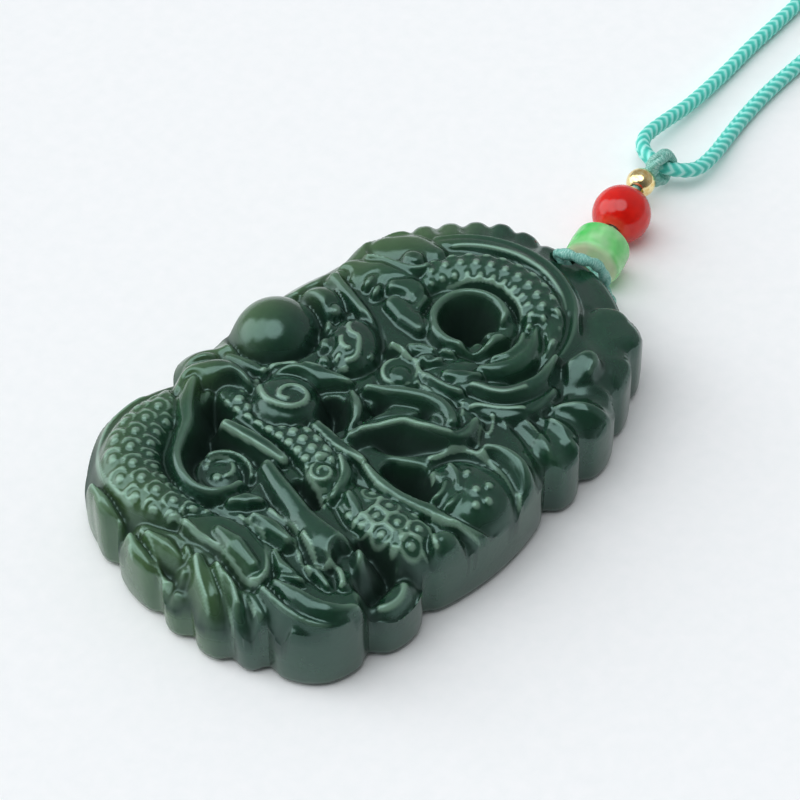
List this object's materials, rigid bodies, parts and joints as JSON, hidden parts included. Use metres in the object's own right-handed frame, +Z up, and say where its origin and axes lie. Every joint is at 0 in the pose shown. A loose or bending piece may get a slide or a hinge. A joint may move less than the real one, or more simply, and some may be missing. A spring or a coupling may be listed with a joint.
{
  "type": "jade pendant",
  "caption": "Oval carved jade pendant lying on its flat back, with a thread bail, small beads and a braided neck cord; worn round the neck as jewellery.",
  "frame": {"origin": "centre of the stone's outline on the flat back that it lies on", "axes": "+Y along the stone towards the bail and cord, +X to the right seen from the carved face, +Z up out of the carved face"},
  "size_m": [0.038, 0.1422, 0.0106],
  "materials": {
    "jade": "polished dark green nephrite",
    "thread": "waxed teal thread",
    "green_glass": "clear green",
    "red_glass": "clear red",
    "gold": "polished gold plate",
    "cord": "braided teal nylon"
  },
  "bodies": {
    "root": {"jade_pendant": "jade", "bail_thread": "thread", "green_bead": "green_glass", "red_bead": "red_glass", "gold_bead": "gold", "neck_cord": "cord", "cord_coil": "cord"}
  },
  "joints": []
}
